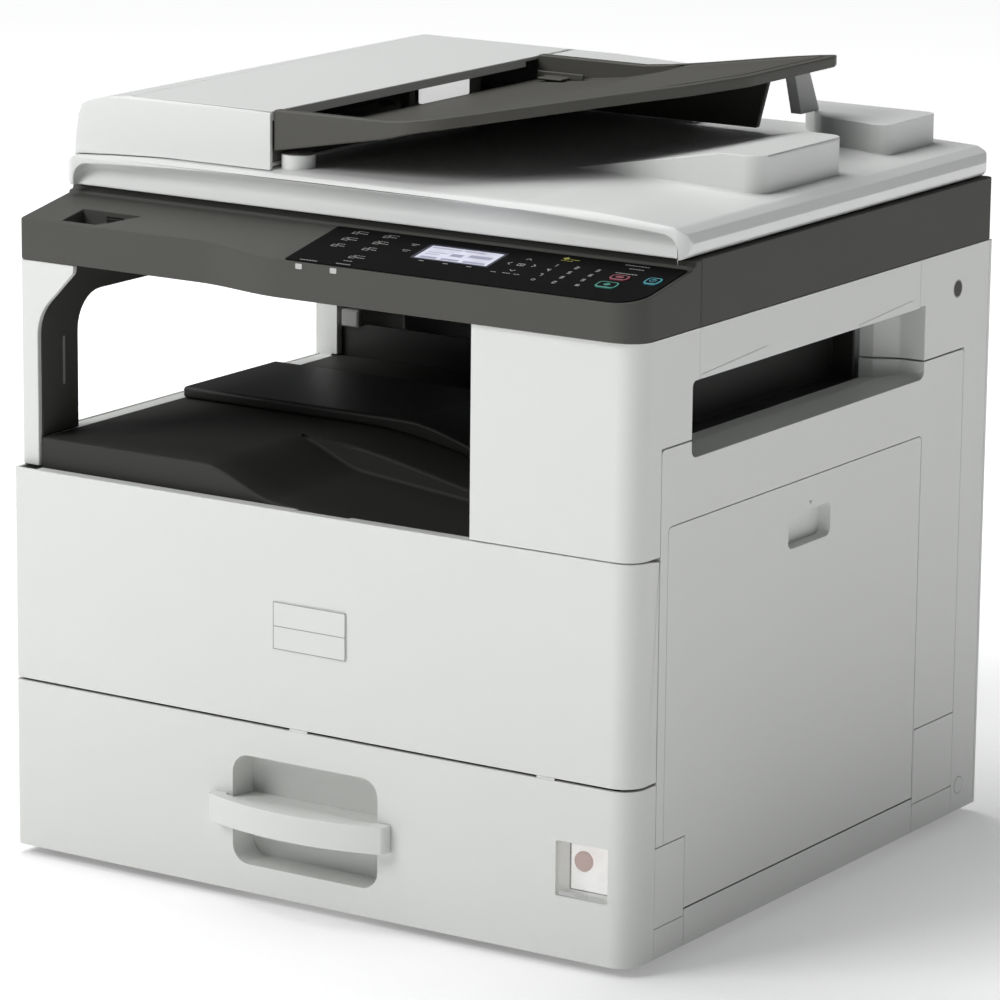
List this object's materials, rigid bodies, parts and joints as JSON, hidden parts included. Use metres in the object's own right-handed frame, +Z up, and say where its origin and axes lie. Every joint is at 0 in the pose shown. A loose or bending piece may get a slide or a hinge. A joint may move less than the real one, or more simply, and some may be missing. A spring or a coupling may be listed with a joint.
{
  "type": "photocopier",
  "caption": "Desktop photocopier with a paper drawer, an output bay inside the body, a flatbed scanner and a document feeder with a rising input tray.",
  "frame": {"origin": "centre of the whole machine's footprint box, on the floor under the feet", "axes": "+Z up, +X to the machine's right seen from the front, +Y from the front to the back"},
  "size_m": [0.587, 0.594, 0.6458],
  "materials": {
    "white": "satin",
    "dark": "textured",
    "black": "satin",
    "grey": "satin",
    "steel": "plain",
    "rubber": "matt",
    "clear": "clear",
    "glass": "clear",
    "screen": "backlit",
    "green": "satin",
    "red": "satin",
    "blue": "satin",
    "organic": "glossy"
  },
  "bodies": {
    "machine": {"base_frame": "steel", "foot_front_left": "rubber", "foot_front_right": "rubber", "foot_rear_left": "rubber", "foot_rear_right": "rubber", "left_side_cover": "white", "front_left_post": "white", "left_post_liner": "dark", "rear_cover": "white", "power_inlet": "black", "right_rear_cover": "white", "right_upper_cover": "white", "right_front_cover": "white", "right_lower_cover": "white", "side_exit_guide": "black", "output_tray": "black", "exit_tray_step": "black", "bay_lining": "black", "scanner_housing": "dark", "platen_glass": "glass", "control_panel_housing": "dark", "usb_socket": "black", "key_sheet": "black", "lcd_window": "screen", "platen_hinge_left": "steel", "platen_hinge_right": "steel", "laser_unit": "black"},
    "lid": {"platen_cover": "white", "adf_body": "white", "adf_feed_deck": "dark"},
    "feeder_cover": {"adf_top_cover": "white"},
    "input_tray": {"adf_input_tray": "dark", "input_tray_leg": "grey"},
    "door": {"front_door": "white", "front_badge": "white"},
    "drawer": {"drawer_front": "white", "drawer_handle": "white", "drawer_box": "black"},
    "lift_plate": {"drawer_lift_plate": "steel"},
    "side_door": {"right_door": "white"},
    "bypass": {"bypass_tray": "white"},
    "feed_fence_front": {"adf_fence_front": "dark"},
    "feed_fence_rear": {"adf_fence_rear": "dark"},
    "feed_roller": {"adf_feed_roller": "rubber"},
    "paper_fence_front": {"drawer_fence_front": "grey"},
    "paper_fence_rear": {"drawer_fence_rear": "grey"},
    "paper_end_fence": {"drawer_end_fence": "grey"},
    "side_fence_front": {"bypass_fence_front": "grey"},
    "side_fence_rear": {"bypass_fence_rear": "grey"},
    "start": {"start_key": "green"},
    "stop": {"stop_key": "red"},
    "energy_saver": {"power_key": "blue"},
    "rocker": {"power_switch": "red"},
    "window": {"switch_window": "clear"},
    "drum": {"photoconductor_drum": "organic"},
    "bottle": {"toner_bottle": "black"},
    "fuser": {"fuser_roller": "red"},
    "pressure": {"pressure_roller": "rubber"},
    "pickup": {"paper_feed_roller": "rubber"},
    "carriage": {"scanner_carriage": "black"}
  },
  "joints": [
    {"name": "start_press", "type": "slide", "parent": "machine", "child": "start", "axis": [0, 0.1867, -0.9824], "range_m": [0, 0.0008], "stiffness_N_per_m": 400},
    {"name": "stop_press", "type": "slide", "parent": "machine", "child": "stop", "axis": [0, 0.1867, -0.9824], "range_m": [0, 0.0008], "stiffness_N_per_m": 400},
    {"name": "energy_saver_press", "type": "slide", "parent": "machine", "child": "energy_saver", "axis": [0, 0.1867, -0.9824], "range_m": [0, 0.0008], "stiffness_N_per_m": 400},
    {"name": "switch_rock", "type": "hinge", "parent": "machine", "child": "rocker", "pos_m": [0.2498, -0.253, 0.079], "axis": [1, 0, 0], "range_deg": [0, 12]},
    {"name": "lid_hinge", "type": "hinge", "parent": "machine", "child": "lid", "pos_m": [0, 0.287, 0.555], "axis": [-1, 0, 0], "range_deg": [0, 65]},
    {"name": "feeder_cover_hinge", "type": "hinge", "parent": "lid", "child": "feeder_cover", "pos_m": [-0.2855, 0.007, 0.5685], "axis": [0, -1, 0], "range_deg": [0, 70]},
    {"name": "input_tray_hinge", "type": "hinge", "parent": "lid", "child": "input_tray", "pos_m": [-0.0894, -0.003, 0.621], "axis": [0, -1, 0], "range_deg": [0, 50]},
    {"name": "feed_fence_front_slide", "type": "slide", "parent": "input_tray", "child": "feed_fence_front", "axis": [0, 1, 0], "range_m": [0, 0.11]},
    {"name": "feed_fence_rear_slide", "type": "slide", "parent": "input_tray", "child": "feed_fence_rear", "axis": [0, -1, 0], "range_m": [0, 0.11]},
    {"name": "feed_roller_spin", "type": "hinge", "parent": "lid", "child": "feed_roller", "pos_m": [-0.162, -0.003, 0.6015], "axis": [0, 1, 0], "continuous": true},
    {"name": "drawer_slide", "type": "slide", "parent": "machine", "child": "drawer", "axis": [0, -1, 0], "range_m": [0, 0.33]},
    {"name": "lift_plate_hinge", "type": "hinge", "parent": "drawer", "child": "lift_plate", "pos_m": [-0.0715, 0.004, 0.023], "axis": [0, -1, 0], "range_deg": [0, 12]},
    {"name": "paper_fence_front_slide", "type": "slide", "parent": "drawer", "child": "paper_fence_front", "axis": [0, 1, 0], "range_m": [0, 0.06]},
    {"name": "paper_fence_rear_slide", "type": "slide", "parent": "drawer", "child": "paper_fence_rear", "axis": [0, -1, 0], "range_m": [0, 0.06]},
    {"name": "paper_end_fence_slide", "type": "slide", "parent": "drawer", "child": "paper_end_fence", "axis": [1, 0, 0], "range_m": [0, 0.12]},
    {"name": "window_hinge", "type": "hinge", "parent": "drawer", "child": "window", "pos_m": [0.2498, -0.2699, 0.0995], "axis": [-1, 0, 0], "range_deg": [0, 80]},
    {"name": "door_hinge", "type": "hinge", "parent": "machine", "child": "door", "pos_m": [0, -0.27, 0.153], "axis": [1, 0, 0], "range_deg": [0, 85]},
    {"name": "side_door_hinge", "type": "hinge", "parent": "machine", "child": "side_door", "pos_m": [0.2925, 0.004, 0.044], "axis": [0, 1, 0], "range_deg": [0, 45]},
    {"name": "bypass_hinge", "type": "hinge", "parent": "side_door", "child": "bypass", "pos_m": [0.2905, -0.027, 0.045], "axis": [0, 1, 0], "range_deg": [0, 80]},
    {"name": "side_fence_front_slide", "type": "slide", "parent": "bypass", "child": "side_fence_front", "axis": [0, 1, 0], "range_m": [0, 0.09]},
    {"name": "side_fence_rear_slide", "type": "slide", "parent": "bypass", "child": "side_fence_rear", "axis": [0, -1, 0], "range_m": [0, 0.09]},
    {"name": "drum_spin", "type": "hinge", "parent": "machine", "child": "drum", "pos_m": [0.192, 0.015, 0.243], "axis": [0, 1, 0], "continuous": true},
    {"name": "bottle_spin", "type": "hinge", "parent": "machine", "child": "bottle", "pos_m": [0.067, 0.015, 0.249], "axis": [0, 1, 0], "continuous": true},
    {"name": "fuser_spin", "type": "hinge", "parent": "machine", "child": "fuser", "pos_m": [0.21, 0.015, 0.334], "axis": [0, 1, 0], "continuous": true},
    {"name": "pressure_spin", "type": "hinge", "parent": "machine", "child": "pressure", "pos_m": [0.2405, 0.015, 0.334], "axis": [0, 1, 0], "continuous": true},
    {"name": "pickup_spin", "type": "hinge", "parent": "machine", "child": "pickup", "pos_m": [0.204, 0.015, 0.144], "axis": [0, 1, 0], "continuous": true},
    {"name": "carriage_slide", "type": "slide", "parent": "machine", "child": "carriage", "axis": [1, 0, 0], "range_m": [0, 0.45]}
  ],
  "couplings": [
    {"joint": "feed_fence_rear_slide", "follows": "feed_fence_front_slide", "ratio": 1},
    {"joint": "paper_fence_rear_slide", "follows": "paper_fence_front_slide", "ratio": 1},
    {"joint": "side_fence_rear_slide", "follows": "side_fence_front_slide", "ratio": 1},
    {"joint": "pressure_spin", "follows": "fuser_spin", "ratio": -1}
  ]
}
